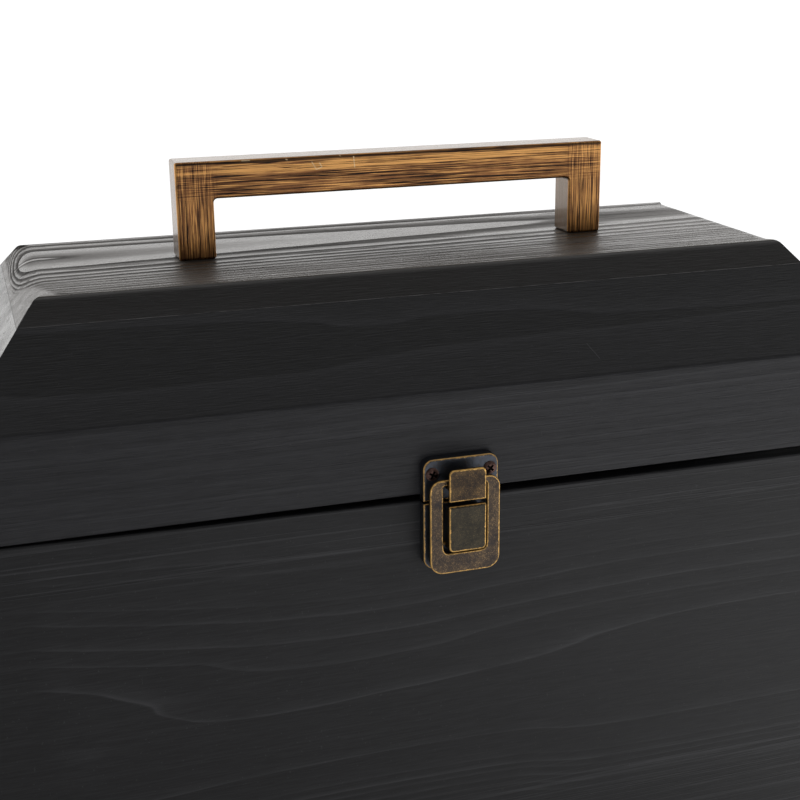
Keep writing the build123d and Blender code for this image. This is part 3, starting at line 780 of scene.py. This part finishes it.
@dataclass(frozen=True)
class AntiqueBronze:
    """Lacquered dark bronze, its front brushed back to gold: along the bar, and down the posts.

    Attributes:
        patina: colour of the top and the sides.
        dark: colour in the deepest brush marks.
        brown: colour of the brushed front.
        gold: colour where it is rubbed through.
        bright: colour of fresh chips.
        middle: the handle's middle along the front.
        half_length: from there to its ends.
        half_depth: from its middle to its front face.
        bar: width of the bar.
        top: height of its top face.
        brush_width: width of the brush's streaks.
        brush_lengths: how long they are along the bar, and down the posts.
        hair_lengths: the same for the hairlines.
        hair_fineness: how fine those are.
        dark_hairs: where the dark hairlines start, and how far apart they lie.
        gold_hairs: the same for the golden ones.
        rub: how far below the top a rubbed band begins and ends.
        lip: the same for the dark line above it.
        chips: both ends of each chip along the upper front edge.
        chip_width: how wide a chip is.
        lacquer: weight of the lacquer on the top and sides, and on the brushed front.
    """

    patina: Colour = shade(106, 94, 76)
    dark: Colour = shade(42, 30, 24)
    brown: Colour = shade(143, 96, 60)
    gold: Colour = shade(240, 178, 106)
    bright: Colour = shade(240, 214, 170)
    middle: float = -0.6
    half_length: float = 69.7
    half_depth: float = 5.7
    bar: float = 11.4
    top: float = 241.0
    brush_width: float = 0.3
    brush_lengths: Pair = (14.0, 11.0)
    hair_lengths: Pair = (60.0, 45.0)
    hair_fineness: float = 0.05
    dark_hairs: Pair = (0.0, 0.75)
    gold_hairs: Pair = (40.0, 0.9)
    rub: Pair = (4.2, 1.4)
    lip: Pair = (1.15, 0.5)
    chips: tuple[Points, ...] = (
        ((-50.0, 240.6), (-47.4, 240.6)),
        ((-36.4, 240.4), (-35.8, 240.2)),
        ((-28.2, 239.2), (-26.8, 236.8)),
        ((-26.8, 236.8), (-25.2, 237.4)),
        ((-25.8, 238.8), (-25.0, 237.4)),
        ((-14.9, 240.2), (-14.6, 236.8)),
        ((-19.4, 240.7), (-19.0, 240.5)),
    )
    chip_width: float = 0.24
    lacquer: Pair = (0.45, 0.1)

    @property
    def inside(self) -> float:
        """From the middle to a post's inner face."""
        return self.half_length - self.bar

    @property
    def under(self) -> float:
        """Height of the bar's underside."""
        return self.top - self.bar

    def brushing(self, p: Pattern, out: Socket, clouds: Socket) -> Brushing:
        """The brush marks: along the bar, down the posts, and crossed where they meet.

        Args:
            p: the pattern that asks.
            out: distance from the handle's middle.
            clouds: noise that the wear follows.

        Returns:
            The marks.
        """
        on_post = p.smooth(out, self.inside - 1.5, self.inside + 1.0)
        on_bar = p.smooth(p.z, self.under - 1.5, self.under + 2.5)
        share = p.times(on_post, p.minus(1.0, p.times(on_bar, 0.5)))
        bar, post = self.brush_lengths
        along_bar = p.streaks((p.x, p.z, p.y), self.brush_width, bar, 5.0)
        strokes = p.blend(share, along_bar, p.streaks((p.z, p.x, p.y), self.brush_width, post, 5.0))
        bar, post = self.hair_lengths
        marks, rubs = (
            p.blend(
                share,
                p.hairs((p.x, p.add(p.z, shift), p.y), width, bar, self.hair_fineness),
                p.hairs((p.z, p.add(p.x, shift), p.y), width, post, self.hair_fineness),
            )
            for shift, width in (self.dark_hairs, self.gold_hairs)
        )
        crossed = p.stretch(p.times(on_post, on_bar), 0.0, 1.0, 1.9, 4.2)
        brushed = p.times(p.add(strokes, -NOISE_MIDDLE), crossed)
        cloudy = p.times(p.add(clouds, -NOISE_MIDDLE), 0.6)
        # The tone rises from left to right: painted light, the right post lighter than the left.
        tone = p.add(brushed, cloudy, p.stretch(p.x, -70.0, 70.0, 0.5, 0.64))
        rub = p.between(p.z, self.top - self.rub[0], self.top - self.rub[1], 1.2)
        tone = p.add(tone, p.times(rub, p.stretch(out, 30.0, 66.0, 0.58, 0.2)), p.times(marks, -0.85))
        return Brushing(strokes, marks, p.add(tone, p.times(rubs, 0.4), p.times(share, 0.14)))

    def material(self, name: str) -> bpy.types.Material:
        """The finish as a material.

        Args:
            name: the material's name.

        Returns:
            The material.
        """
        p = Pattern(name)
        out = p.unsigned(p.minus(p.x, self.middle))
        clouds = p.noise(p.place, 7.0)
        brush = self.brushing(p, out, clouds)
        colour = p.mix(p.smooth(brush.tone, 0.0, 0.5), self.dark, self.brown)
        colour = p.mix(p.smooth(brush.tone, 0.5, 1.15), colour, self.gold)
        lip = p.between(p.z, self.top - self.lip[0], self.top - self.lip[1], 0.2)
        colour = p.mix(p.times(lip, 0.85), colour, self.dark)
        front = p.smooth(p.y, -self.half_depth + 0.6, -self.half_depth + 0.3)
        sides = p.mix(p.stretch(brush.strokes, 0.35, 0.65, 0.0, 0.45), self.patina, self.brown)
        colour = p.mix(front, sides, colour)
        inner = p.between(out, self.inside - 0.4, self.inside + 0.25, 0.15)
        outer = p.between(out, self.half_length - 0.45, self.half_length + 1.0, 0.15)
        edges = p.most(p.times(inner, p.smooth(p.z, self.under, self.under - 1.0)), outer)
        near = p.smooth(p.y, -self.half_depth + 1.0, -self.half_depth + 0.5)
        patchy = p.stretch(clouds, 0.3, 0.6, 0.4, 1.0)
        colour = p.mix(p.times(edges, near, patchy), colour, self.gold)
        for chip in self.chips:
            colour = p.mix(p.times(p.stroke(*chip, self.chip_width), near, patchy), colour, self.bright)
        relief = p.add(p.times(brush.strokes, 0.04), p.times(brush.marks, -0.03))
        p.metal(colour, p.stretch(brush.strokes, 0.35, 0.65, 0.42, 0.3), relief)
        lacquer = p.stretch(front, 0.0, 1.0, *self.lacquer)
        return p.finish(Coat_Weight=lacquer, Coat_Roughness=0.12, Coat_IOR=1.5)


@dataclass(frozen=True)
class Outline:
    """A rounded rectangle on the latch's front.

    Attributes:
        width: its width, half of it on either side of the latch's middle.
        low: its lower edge, from the lid's lower edge.
        high: its upper edge, from there too.
        stand: how far it stands off the face of the boards.
        top_corner: radius of its upper corners.
        bottom_corner: radius of its lower corners.
        centre: the latch's middle along the front.
        level: height of the lid's lower edge.
        face: where the face of the boards is.
    """

    width: float
    low: float
    high: float
    stand: float
    top_corner: float = 0.0
    bottom_corner: float = 0.0
    centre: float = -2.55
    level: float = 150.3
    face: float = -65.5

    def inset(self, p: Pattern) -> Socket:
        """How far inside the outline each point lies, in mm.

        Args:
            p: the pattern that asks.

        Returns:
            The distance, below 0 outside the outline.
        """
        rise = p.minus(p.z, self.level + (self.low + self.high) / 2)
        across = p.minus(p.x, self.centre)
        corner = p.stretch(rise, -0.5, 0.5, self.bottom_corner, self.top_corner)
        spans = ((across, self.width / 2), (rise, (self.high - self.low) / 2))
        sides = [p.add(p.unsigned(place), -half, corner) for place, half in spans]
        outside = p.reach(p.join(*[p.most(side, 0.0) for side in sides], 0.0))
        inside = p.math("MINIMUM", p.most(*sides), 0.0)
        return p.minus(corner, p.add(outside, inside))

    def wear(self, p: Pattern, ragged: Socket, edge: float) -> Socket:
        """How far the metal is rubbed bright along the outline.

        Args:
            p: the pattern that asks.
            ragged: noise about 0 that frays the wear, in mm.
            edge: how far in the wear reaches.

        Returns:
            1 where it is bright, 0 where it isn't.
        """
        near = p.add(p.unsigned(self.inset(p)), ragged)
        proud = p.smooth(p.y, self.face - self.stand + 0.5, self.face - self.stand + 0.25)
        return p.times(p.smooth(near, edge, 0.35 * edge), proud)


@dataclass(frozen=True)
class AntiqueBrass:
    """Blackened brass with a mottled face, rubbed back to gold along its edges.

    The plates that lie near the wood stay blue-black. What stands out is rubbed brown and speckled.

    Attributes:
        dark: darker colour of what stands out.
        light: its lighter colour.
        speckle: colour of its speckles.
        plate: colour of the plates.
        plate_spots: colour of their lighter spots.
        gold: colour where it is rubbed through.
        cloud: size of the clouds on it, in mm.
        blotch: size of the blotches.
        speck: size of the specks.
        patch: size of the patches in which the gold is worn more or less.
        edge: how far the rubbing reaches in from an edge.
        step: how far from the boards what stands out begins.
        boards: where the face of the boards is.
    """

    dark: Colour
    light: Colour
    speckle: Colour
    plate: Colour = shade(84, 88, 96)
    plate_spots: Colour = shade(90, 84, 82)
    gold: Colour = shade(255, 204, 122)
    cloud: float = 4.5
    blotch: float = 0.9
    speck: float = 0.25
    patch: float = 2.2
    edge: float = 0.5
    step: float = 5.5
    boards: float = -65.5

    def material(self, name: str, outlines: tuple[Outline, ...]) -> bpy.types.Material:
        """The finish as a material.

        Args:
            name: the material's name.
            outlines: the edges that are worn.

        Returns:
            The material.
        """
        p = Pattern(name)
        clouds = p.noise(p.place, self.cloud, 3.0, 0.6)
        blotches = p.noise(p.place, self.blotch, 4.0, 0.7)
        specks = p.noise(p.place, self.speck, 2.0)
        ragged = p.times(p.add(blotches, -NOISE_MIDDLE), 0.9)
        face = p.mix(p.smooth(p.add(clouds, ragged), 0.2, 0.8), self.dark, self.light)
        spots = p.smooth(p.add(specks, p.times(clouds, 0.3), p.times(blotches, 0.3)), 0.83, 1.08)
        face = p.mix(p.times(spots, 0.9), face, self.speckle)
        plate = p.mix(p.smooth(blotches, 0.5, 0.72), self.plate, self.plate_spots)
        proud = p.smooth(p.y, self.boards - self.step, self.boards - self.step - 0.5)
        colour = p.mix(proud, plate, face)
        worn = p.stretch(p.noise(p.place, self.patch, 3.0, 0.6), 0.3, 0.62, 0.55, 1.0)
        for outline in outlines:
            colour = p.mix(p.times(outline.wear(p, ragged, self.edge), worn), colour, self.gold)
        relief = p.add(p.times(blotches, 0.06), p.times(specks, 0.03))
        return p.metal(colour, p.spread(blotches, 0.3, 0.5), relief)


@dataclass(frozen=True)
class PlainMetal:
    """A plain metal with light rubbing marks, for screws and hinges.

    Attributes:
        colour: its colour where it is untouched.
        worn: its colour where it is rubbed.
        roughness: its mean roughness.
        patches: how far the roughness varies either way.
        cloud: size of the rubbed patches in mm.
        relief: their height.
    """

    colour: Colour
    worn: Colour
    roughness: float = 0.4
    patches: float = 0.08
    cloud: float = 1.6
    relief: float = 0.02

    def material(self, name: str) -> bpy.types.Material:
        """The finish as a material.

        Args:
            name: the material's name.

        Returns:
            The material.
        """
        p = Pattern(name)
        clouds = p.noise(p.place, self.cloud, 4.0, 0.6)
        colour = p.mix(p.smooth(clouds, 0.3, 0.75), self.colour, self.worn)
        roughness = p.spread(clouds, self.roughness - self.patches, self.roughness + self.patches)
        return p.metal(colour, roughness, p.times(clouds, self.relief))


def dress(node: str, material: bpy.types.Material) -> None:
    """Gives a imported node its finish.

    Args:
        node: the node's name.
        material: the finish.
    """
    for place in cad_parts[node].material_slots:
        place.material = material
    log.info("dressed %s in %s", node, material.name)


# ---- Screws ---------------------------------------------------------------------------
class Facing(Enum):
    """The way a screw's head looks, as the turn that brings it there from the front."""

    FRONT = Matrix.Identity(4)
    BACK = Matrix.Rotation(math.pi, 4, "Z")
    BELOW = Matrix.Rotation(math.pi / 2, 4, "X")


@dataclass(frozen=True)
class CrossScrew:
    """A screw with a cross recess in a domed or a flat head. Sizes are in mm.

    Attributes:
        shank: diameter under the head.
        length: from under the head, or from a flat head's face, to the point.
        head: diameter of the head.
        rise: height of a dome, or 0 for a countersunk head.
        blade: width of the recess's arms.
        depth: how deep the recess is.
        span: how much of the head's diameter the recess takes.
        floor: how much the recess narrows to its floor, along and across an arm.
        steps: flats round the screw.
        seam: distance under which corners are merged, in metres.
    """

    shank: float
    length: float
    head: float
    rise: float = 0.0
    blade: float = 0.75
    depth: float = 0.75
    span: float = 0.7
    floor: Pair = (0.7, 0.8)
    steps: int = 40
    seam: float = 1e-6

    def outline(self) -> list[Pair]:
        """Half of the section, from the middle of the head to the point.

        Returns:
            Its corners, each a radius and a depth.
        """
        tip = [(self.shank / 2, self.length - self.shank), (0.0, self.length)]
        if not self.rise:
            return [(0.0, 0.0), (self.head / 2, 0.0), (self.shank / 2, (self.head - self.shank) / 2), *tip]
        swing = [math.radians(angle) for angle in range(0, 90, 15)]
        dome = [(self.head / 2 * math.sin(angle), -self.rise * math.cos(angle) ** 0.8) for angle in swing]
        return [*dome, (self.head / 2, 0.0), (self.shank / 2, 0.0), *tip]

    def body(self) -> bpy.types.Mesh:
        """The screw without its recess, its head looking along -Y.

        Returns:
            Its mesh.
        """
        made = bmesh.new()
        corners = [made.verts.new((radius * MM, depth * MM, 0.0)) for radius, depth in self.outline()]
        edges = [made.edges.new(pair) for pair in zip(corners, corners[1:])]
        whole = {"angle": math.tau, "steps": self.steps, "use_merge": True}
        bmesh.ops.spin(made, geom=[*corners, *edges], cent=(0, 0, 0), axis=(0, 1, 0), **whole)
        bmesh.ops.remove_doubles(made, verts=made.verts[:], dist=self.seam)
        bmesh.ops.recalc_face_normals(made, faces=made.faces[:])
        return self.keep(made)

    def arm(self, turn: float) -> bpy.types.Mesh:
        """What one arm of the recess takes away.

        Args:
            turn: how far the arm is turned, in degrees.

        Returns:
            Its mesh.
        """
        made = bmesh.new()
        bmesh.ops.create_cube(made, size=MM)
        size = (self.head * self.span, self.depth * 2, self.blade)
        bmesh.ops.scale(made, vec=size, verts=made.verts[:])
        along, across = self.floor
        bmesh.ops.scale(made, vec=(along, 1.0, across), verts=[vert for vert in made.verts if vert.co.y > 0])
        swing = Matrix.Rotation(math.radians(turn), 3, "Y")
        bmesh.ops.rotate(made, cent=(0, 0, 0), matrix=swing, verts=made.verts[:])
        bmesh.ops.translate(made, vec=(0, -self.rise * MM, 0), verts=made.verts[:])
        return self.keep(made)

    def keep(self, made: bmesh.types.BMesh) -> bpy.types.Mesh:
        """Turns a finished shape into a mesh.

        Args:
            made: the shape, which is freed.

        Returns:
            The mesh.
        """
        mesh = bpy.data.meshes.new("screw")
        made.to_mesh(mesh)
        made.free()
        return mesh

    def build(self, place: Matrix, turn: float) -> bpy.types.Mesh:
        """One screw in its place. The faces of its recess take the second material, a near-black that paints
        shade into the recess.

        Args:
            place: where it stands and how it is turned.
            turn: how far the recess is turned, in degrees.

        Returns:
            Its mesh.
        """
        screw = bring_in("screw", self.body())
        for angle in (turn, turn + 90.0):
            tool = bring_in("recess", self.arm(angle))
            cut = screw.modifiers.new("recess", "BOOLEAN")
            cut.operation = "DIFFERENCE"
            cut.solver = "EXACT"
            cut.object = tool
            done = bpy.data.meshes.new_from_object(screw.evaluated_get(bpy.context.evaluated_depsgraph_get()))
            screw.modifiers.clear()
            screw.data = done
            bpy.data.objects.remove(tool)
        mesh = screw.data
        bpy.data.objects.remove(screw)
        # Faces inside the recess take the near-black second material: painted shade.
        rim = self.head * (self.span / 2 + 0.01)
        for face in mesh.polygons:
            middle = face.center / MM
            within = math.hypot(middle.x, middle.z) < rim and middle.y < self.depth
            below = middle.y > self.depth / 2 - self.rise
            face.material_index = int(within and (face.normal.y > -0.5 or below))
        mesh.transform(place)
        return mesh


@dataclass(frozen=True)
class ScrewSet:
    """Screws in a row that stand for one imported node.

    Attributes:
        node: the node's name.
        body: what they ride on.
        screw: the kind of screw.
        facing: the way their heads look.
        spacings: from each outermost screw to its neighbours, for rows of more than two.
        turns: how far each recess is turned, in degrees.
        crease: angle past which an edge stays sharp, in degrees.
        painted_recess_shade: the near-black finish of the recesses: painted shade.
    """

    node: str
    body: str
    screw: CrossScrew
    facing: Facing
    spacings: tuple[float, ...] = (0.0,)
    turns: tuple[float, ...] = (28.0, 41.0, 12.0, 60.0)
    crease: float = 32.0
    # The near-black finish of the recesses is painted shade.
    painted_recess_shade: PlainMetal = PlainMetal(shade(14, 12, 12), shade(30, 26, 25), 0.6)

    def places(self) -> list[Vector]:
        """Where the underside of each domed head, or the face of each flat one, stands.

        Returns:
            One place for each screw, from left to right.
        """
        low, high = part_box(self.node)
        centre = (Vector(low) + Vector(high)) / 2
        rise = self.screw.rise * MM
        if self.facing is Facing.BELOW:
            centre.z = low[2] + rise
        elif self.facing is Facing.BACK:
            centre.y = high[1] - rise
        else:
            centre.y = low[1] + rise
        reach = (high[0] - low[0] - self.screw.head * MM) / 2
        offsets = sorted(side * (reach - spacing * MM) for side in (-1, 1) for spacing in self.spacings)
        return [centre + Vector((offset, 0, 0)) for offset in offsets]

    def build(self, material: bpy.types.Material, slot: str) -> None:
        """Sets the screws in place of the node.

        Args:
            material: their finish.
            slot: not used.
        """
        name = f"{self.node}_cross"
        # The recesses' near-black material paints shade into them.
        painted_recess_shade = self.painted_recess_shade.material(f"{self.node}_grime")
        places = self.places()
        joined = bmesh.new()
        for place, turn in zip(places, self.turns):
            joined.from_mesh(self.screw.build(Matrix.Translation(place) @ self.facing.value, turn))
        mesh = bpy.data.meshes.new(name)
        joined.to_mesh(mesh)
        joined.free()
        mesh.shade_smooth()
        mesh.set_sharp_from_angle(angle=math.radians(self.crease))
        mesh.materials.append(material)
        mesh.materials.append(painted_recess_shade)
        piece = bring_in(name, mesh)
        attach(piece, self.body)
        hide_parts(self.node)
        log.info("set %d screws for %s", len(places), self.node)


# ---- Sub-assemblies -------------------------------------------------------------------
@dataclass
class Body:
    """Four mitred boards and the bottom panel.

    Attributes:
        front: the front board's finish.
        seeds: what sets the figure of each other board.
    """

    front: StainedWood = FrontBoardWood(
        Grain.ALONG_THE_FRONT, ring_share=0.8, stain=shade(31, 31, 33), pale=shade(80, 80, 83), relief=0.08
    )
    seeds: tuple[tuple[str, float], ...] = (("back_board", 48.0), ("left_end", 83.0), ("right_end", 125.0))

    def dress(self) -> None:
        """Gives each board its finish."""
        dress("body_front_board", self.front.material("stained_body_front"))
        for board, seed in self.seeds:
            way = Grain.ALONG_THE_END if board.endswith("end") else Grain.ALONG_THE_FRONT
            dress(f"body_{board}", StainedWood(way, seed).material(f"stained_body_{board}"))
        dress("body_bottom_panel", BottomWood().material("bottom_panel_wood"))


@dataclass
class Lid:
    """Four rails, four sloped boards and the flat top board.

    Attributes:
        ways: the way the grain runs on each side.
        seed: what sets the figure of the first rail.
        seed_step: how far it moves on from rail to rail.
        back_seed: what sets the figure of the back slope.
        slope: the front slope's finish.
        end_slope: the finish of the slopes at both ends.
        top: the top board's finish.
    """

    ways: tuple[tuple[str, Grain], ...] = (
        ("front", Grain.ALONG_THE_FRONT),
        ("back", Grain.ALONG_THE_FRONT),
        ("left", Grain.ALONG_THE_END),
        ("right", Grain.ALONG_THE_END),
    )
    seed: float = 160.0
    seed_step: float = 31.0
    back_seed: float = 260.0
    slope: StainedWood = FrontSlopeWood(
        Grain.ALONG_THE_FRONT,
        relief=0.04,
        dull=0.5,
        gloss=1.5,
        stain=shade(10, 10, 11),
        pale=shade(55, 55, 58),
    )
    end_slope: StainedWood = EndSlopeWood(
        Grain.ALONG_THE_END,
        relief=0.05,
        ring_share=0.85,
        dull=0.5,
        sleek=0.18,
        gloss=1.6,
        glint=shade(255, 248, 238),
        pale=shade(58, 56, 53),
    )
    top: StainedWood = TopBoardWood(
        Grain.ALONG_THE_FRONT,
        relief=0.27,
        ring_share=0.85,
        stain=shade(24, 21, 19),
        pale=shade(74, 65, 56),
        dull=0.85,
        sleek=0.22,
        gloss=1.5,
        glint=shade(255, 250, 244),
        edge=slope,
    )

    def rail(self, way: Grain, seed: float) -> StainedWood:
        """The finish of a rail: close straight rings."""
        colours = {"stain": shade(35, 35, 38), "pale": shade(72, 72, 76)}
        return StainedWood(way, seed, ring_width=1.7, wander=7.0, relief=0.06, **colours)

    def dress(self) -> None:
        """Gives each board its finish."""
        for index, (side, way) in enumerate(self.ways):
            wood = self.rail(way, self.seed + self.seed_step * index)
            dress(f"lid_{side}_rail", wood.material(f"stained_{side}_rail"))
        for side in ("left", "right"):
            dress(f"lid_{side}_slope", self.end_slope.material(f"stained_{side}_slope"))
        dress("lid_front_slope", self.slope.material("stained_front_slope"))
        back = StainedWood(Grain.ALONG_THE_FRONT, self.back_seed)
        dress("lid_back_slope", back.material("stained_back_slope"))
        dress("lid_top_board", self.top.material("stained_top_board"))


@dataclass
class Handle:
    """The square bar on its two posts, and the screws that hold it from inside.

    Attributes:
        screw: the kind of screw.
    """

    screw: CrossScrew = CrossScrew(shank=4.0, length=17.3, head=8.0, rise=2.6, blade=1.2, depth=1.6)

    def dress(self) -> None:
        """Gives the handle and its screws their finish."""
        dress("carry_handle", AntiqueBronze().material("antique_bronze_handle"))
        steel = PlainMetal(shade(150, 150, 148), shade(190, 190, 186), 0.35)
        screws = ScrewSet("handle_screws", "lid", self.screw, Facing.BELOW)
        screws.build(steel.material("plated_steel_screws"), "plated_steel")


@dataclass
class DrawLatch:
    """Strike plate, base plate, lever and draw ring, with their pins and screws.

    Attributes:
        strike: the strike plate's outline.
        hook: the outline of the hook that is bent up from it.
        base: the base plate's outline.
        lever: the outline of the lever's face.
        ring: the draw ring's outer outline.
        window: its inner outline.
        screw: the kind of screw.
    """

    strike: Outline = Outline(22.9, -1.1, 11.45, 3.5, 3.0, 0.0)
    hook: Outline = Outline(11.1, 0.1, 9.65, 9.3, 1.4, 0.0)
    base: Outline = Outline(22.9, -22.4, -1.75, 3.5, 0.0, 3.5)
    lever: Outline = Outline(11.2, -15.3, -1.2, 9.3, 0.0, 1.4)
    ring: Outline = Outline(21.3, -22.7, 6.15, 7.15, 3.4, 4.0)
    window: Outline = Outline(13.44, -16.55, 4.49, 7.15, 0.8, 1.8)
    screw: CrossScrew = CrossScrew(shank=2.0, length=10.5, head=4.0, rise=0.8)

    def dress(self) -> None:
        """Gives each part of the latch its finish."""
        brown = AntiqueBrass(shade(58, 51, 47), shade(94, 79, 61), shade(156, 124, 86))
        olive = AntiqueBrass(shade(55, 53, 49), shade(76, 71, 61), shade(106, 94, 74))
        mixed = AntiqueBrass(shade(66, 61, 60), shade(98, 84, 70), shade(164, 138, 106))
        dress("strike_plate", brown.material("antique_brass_strike", (self.strike, self.hook)))
        dress("latch_base_plate", brown.material("antique_brass_base", (self.base,)))
        dress("latch_lever", olive.material("antique_brass_lever", (self.lever,)))
        dress("draw_ring", mixed.material("antique_brass_ring", (self.ring, self.window)))
        copper = PlainMetal(shade(78, 58, 54), shade(128, 100, 92), 0.42).material("dark_copper_screws")
        for node, body in (("strike_screws", "lid"), ("latch_base_screws", "body")):
            ScrewSet(node, body, self.screw, Facing.FRONT).build(copper, "dark_copper")
        pin = PlainMetal(shade(90, 70, 44), shade(150, 116, 66)).material("latch_pins")
        for node in ("lever_pin", "ring_pin"):
            dress(node, pin)


@dataclass
class Hinges:
    """Two butt hinges on the back, each leaf held by two screws.

    Attributes:
        spacing: from one screw of a leaf to the other, in mm.
        screw: the kind of screw.
    """

    spacing: float = 18.0
    screw: CrossScrew = CrossScrew(shank=2.2, length=8.5, head=4.4, blade=0.6, depth=0.7)

    def dress(self) -> None:
        """Gives leaves, pins and screws their finish."""
        brass = PlainMetal(shade(84, 70, 50), shade(122, 98, 62)).material("hinge_brass")
        for side in ("left", "right"):
            for part in ("body_leaf", "lid_leaf", "pin"):
                dress(f"hinge_{part}_{side}", brass)
        for body in ("body", "lid"):
            rows = ScrewSet(f"hinge_{body}_screws", body, self.screw, Facing.BACK, (0.0, self.spacing))
            rows.build(brass, "hinge_brass")


# ---- Studio ---------------------------------------------------------------------------
@dataclass
class Studio:
    """A pale floor, a soft world and the camera.

    Attributes:
        place: where the camera stands, in metres.
        yaw: how far it is turned towards +X, in degrees.
        pitch: how far it looks down.
        roll: how far it is tilted.
        lens: focal length in mm.
        sensor: width of the sensor in mm.
        clip: the nearest and the farthest that the camera sees, in metres.
        floor_size: length of the floor's sides, in metres.
        floor_paint: colour of the floor under the lamps.
        glow: light that the floor adds where the camera sees it.
        front_glow: what it adds in reflections in front of the box, at the left and at the right.
        back_glow: what it adds in reflections behind the box.
        sky: how the sky's strength changes towards +X and +Y, and its level.
        least: its strength where it is darkest.
    """

    place: Vector = Vector((-0.13303, -0.42681, 0.29803))
    yaw: float = 17.4265
    pitch: float = 17.371
    roll: float = -0.689
    lens: float = 63.415
    sensor: float = 36.0
    clip: Pair = (0.01, 50.0)
    floor_size: float = 12.0
    floor_paint: Colour = (0.75, 0.75, 0.75)
    glow: float = 0.65
    front_glow: Pair = (0.0, 0.75)
    back_glow: float = 0.8
    sky: tuple[float, float, float] = (0.16, 0.86, 0.53)
    least: float = 0.17

    def stand_camera(self) -> None:
        """Sets up the camera."""
        data = bpy.data.cameras.new("camera")
        data.lens = self.lens
        data.sensor_width = self.sensor
        data.sensor_fit = "HORIZONTAL"
        data.clip_start, data.clip_end = self.clip
        camera = bring_in("camera", data)
        turn = Matrix.Rotation(-math.radians(self.yaw), 4, "Z")
        turn @= Matrix.Rotation(math.radians(90 - self.pitch), 4, "X")
        turn @= Matrix.Rotation(math.radians(self.roll), 4, "Z")
        camera.matrix_world = Matrix.Translation(self.place) @ turn
        bpy.context.scene.camera = camera

    def lay_floor(self) -> None:
        """Lays a pale floor, white to the camera, and lit more towards the right in reflections."""
        bpy.ops.mesh.primitive_plane_add(size=self.floor_size)
        floor = bpy.context.object
        floor.name = "floor"
        material = bpy.data.materials.new("pale_floor")
        material.use_nodes = True
        material.node_tree.nodes.clear()
        sums = Sums(material.node_tree)
        path = sums.node("ShaderNodeLightPath", {}).outputs
        x, y, _ = sums.split(sums.node("ShaderNodeTexCoord", {}).outputs["Object"])
        in_front = sums.smooth(x, -0.25, 0.3, *self.front_glow)
        reflected = sums.blend(sums.smooth(y, -0.05, 0.3), in_front, self.back_glow)
        seen = sums.times(path["Is Camera Ray"], self.glow)
        strength = sums.add(seen, sums.times(path["Is Glossy Ray"], reflected))
        glow = sums.node("ShaderNodeEmission", {"Strength": strength})
        paint = sums.node("ShaderNodeBsdfDiffuse", {"Color": self.floor_paint})
        both = sums.node("ShaderNodeAddShader", {0: glow.outputs[0], 1: paint.outputs[0]})
        sums.node("ShaderNodeOutputMaterial", {"Surface": both.outputs[0]})
        floor.data.materials.append(material)

    def hang_sky(self) -> None:
        """Lights the box from a white backdrop behind and a darker room in front and above."""
        world = bpy.data.worlds.new("studio")
        world.use_nodes = True
        bpy.context.scene.world = world
        sums = Sums(world.node_tree)
        sky = world.node_tree.nodes["Background"]
        sums.feed(sky.inputs["Color"], (1.0, 1.0, 1.0))
        x, y, _ = sums.split(sums.node("ShaderNodeTexCoord", {}).outputs["Generated"])
        across, back, level = self.sky
        room = sums.add(sums.times(x, across), sums.times(y, back), level)
        seen = sums.node("ShaderNodeLightPath", {}).outputs["Is Camera Ray"]
        sums.feed(sky.inputs["Strength"], sums.most(seen, sums.most(room, self.least)))

    def set_up(self) -> None:
        """Builds the whole studio."""
        self.stand_camera()
        self.lay_floor()
        self.hang_sky()
        bpy.context.scene.view_settings.view_transform = "Standard"
        log.info("studio ready")


def main() -> None:
    """Builds and dresses the box, piece by piece."""
    logging.basicConfig(level=logging.INFO, format="%(message)s")
    Studio().set_up()
    for part in (Body(), Lid(), Handle(), DrawLatch(), Hinges()):
        part.dress()
        log.info("finished %s", type(part).__name__)


if __name__ == "__main__":
    main()
